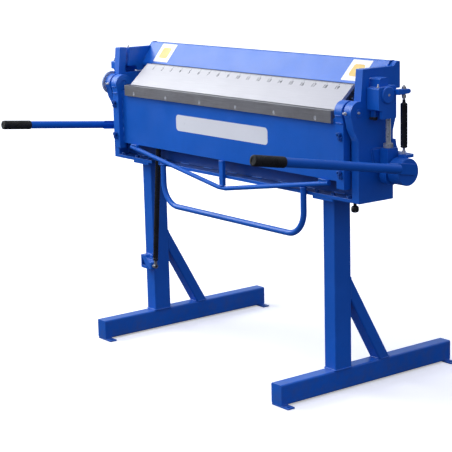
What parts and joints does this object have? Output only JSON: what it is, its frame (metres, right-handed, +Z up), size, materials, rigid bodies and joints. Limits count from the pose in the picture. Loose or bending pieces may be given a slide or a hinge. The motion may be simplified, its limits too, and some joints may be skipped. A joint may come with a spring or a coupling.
{
  "type": "sheet metal brake",
  "caption": "Floor-standing manual sheet metal brake with clamping beam, swing-up folding leaf, hand levers and gas springs.",
  "frame": {"origin": "on the floor, under the middle of the machine's bounding box", "axes": "+X runs along the bending edge to the side with the clamp spring, -Y is where the operator stands, +Z is up"},
  "size_m": [1.8678, 1.2153, 1.234],
  "materials": {
    "blue_paint": "semi-gloss machine enamel",
    "light_blade": "pale satin ground face",
    "bar_steel": "ground flat bar, satin",
    "steel": "zinc-plated, lightly worn",
    "dark_steel": "black oxide screws",
    "black_paint": "gloss black tube",
    "grip_rubber": "ribbed matt rubber",
    "knob_plastic": "moulded, slightly glossy"
  },
  "bodies": {
    "frame": {"column_left": "blue_paint", "column_right": "blue_paint", "foot_beam_left": "blue_paint", "foot_beam_right": "blue_paint", "brace_left": "blue_paint", "brace_right": "blue_paint", "foot_plate_front_left": "blue_paint", "foot_plate_front_right": "blue_paint", "foot_plate_rear_left": "blue_paint", "foot_plate_rear_right": "blue_paint", "column_top_plate_left": "blue_paint", "column_top_plate_right": "blue_paint", "side_frame_left": "blue_paint", "side_frame_right": "blue_paint", "base_plate": "blue_paint", "bed_beam": "blue_paint", "bed_nose": "bar_steel", "clamp_spring_bracket": "blue_paint", "clamp_spring_rod": "steel", "leaf_spring_bracket": "blue_paint"},
    "leaf": {"leaf_plate": "blue_paint", "folding_bar": "bar_steel", "leaf_arm_left": "blue_paint", "leaf_arm_right": "blue_paint", "pivot_pin_left": "blue_paint", "pivot_pin_right": "blue_paint", "arm_adjuster_lower_left": "dark_steel", "arm_adjuster_lower_right": "dark_steel", "arm_adjuster_upper_left": "dark_steel", "arm_adjuster_upper_right": "dark_steel", "angle_disc": "steel", "truss_rod": "blue_paint", "truss_strut": "blue_paint", "bow_handle": "blue_paint", "leaf_spring_lug": "blue_paint"},
    "leaf_spring_cylinder": {"leaf_spring_cylinder": "black_paint"},
    "leaf_spring_rod": {"leaf_spring_rod": "steel"},
    "clamp": {"clamp_beam": "blue_paint", "clamp_blade": "light_blade", "blade_carrier": "bar_steel", "beam_end_plate_left": "blue_paint", "beam_end_plate_right": "blue_paint", "link_head_left": "blue_paint", "link_head_right": "blue_paint", "link_rod_left": "steel", "link_rod_right": "steel", "lock_nut_left": "steel", "lock_nut_right": "steel", "strap_box_left": "blue_paint", "strap_box_right": "blue_paint", "clamp_spring_arm": "blue_paint", "clamp_spring_cylinder": "black_paint"},
    "lever_left": {"lever_hub_left": "blue_paint", "lever_tube_left": "blue_paint", "lever_grip_left": "grip_rubber"},
    "lever_right": {"lever_hub_right": "blue_paint", "lever_tube_right": "blue_paint", "lever_grip_right": "grip_rubber"},
    "lock_knob": {"lock_knob": "knob_plastic"}
  },
  "joints": [
    {"name": "leaf_swing", "type": "hinge", "parent": "frame", "child": "leaf", "pos_m": [0, -0.02835, 1.068], "axis": [-1, 0, 0], "range_deg": [0, 135]},
    {"name": "leaf_spring_pivot", "type": "hinge", "parent": "leaf", "child": "leaf_spring_cylinder", "pos_m": [-0.479, -0.00835, 0.868], "axis": [-1, 0, 0], "range_deg": [-147.81, 0]},
    {"name": "leaf_spring_stroke", "type": "slide", "parent": "leaf_spring_cylinder", "child": "leaf_spring_rod", "axis": [0, -0.0726, -0.9974], "range_m": [0, 0.336]},
    {"name": "clamp_lift", "type": "slide", "parent": "frame", "child": "clamp", "axis": [0, 0, 1], "range_m": [0, 0.034]},
    {"name": "lever_left_turn", "type": "hinge", "parent": "frame", "child": "lever_left", "pos_m": [-0.87, 0.09965, 0.857], "axis": [-1, 0, 0], "range_deg": [0, 100]},
    {"name": "lever_right_turn", "type": "hinge", "parent": "frame", "child": "lever_right", "pos_m": [0.87, 0.09965, 0.857], "axis": [-1, 0, 0], "range_deg": [0, 100]},
    {"name": "knob_turn", "type": "hinge", "parent": "frame", "child": "lock_knob", "pos_m": [0.742, -0.00935, 0.731], "axis": [0, 0, 1], "continuous": true}
  ],
  "couplings": [
    {"joint": "leaf_spring_pivot", "follows": "leaf_swing", "ratio": -1.0945},
    {"joint": "leaf_spring_stroke", "follows": "leaf_swing", "m_per_rad": 0.14256},
    {"joint": "lever_left_turn", "follows": "clamp_lift", "rad_per_m": 51.33},
    {"joint": "lever_right_turn", "follows": "clamp_lift", "rad_per_m": 51.33}
  ]
}
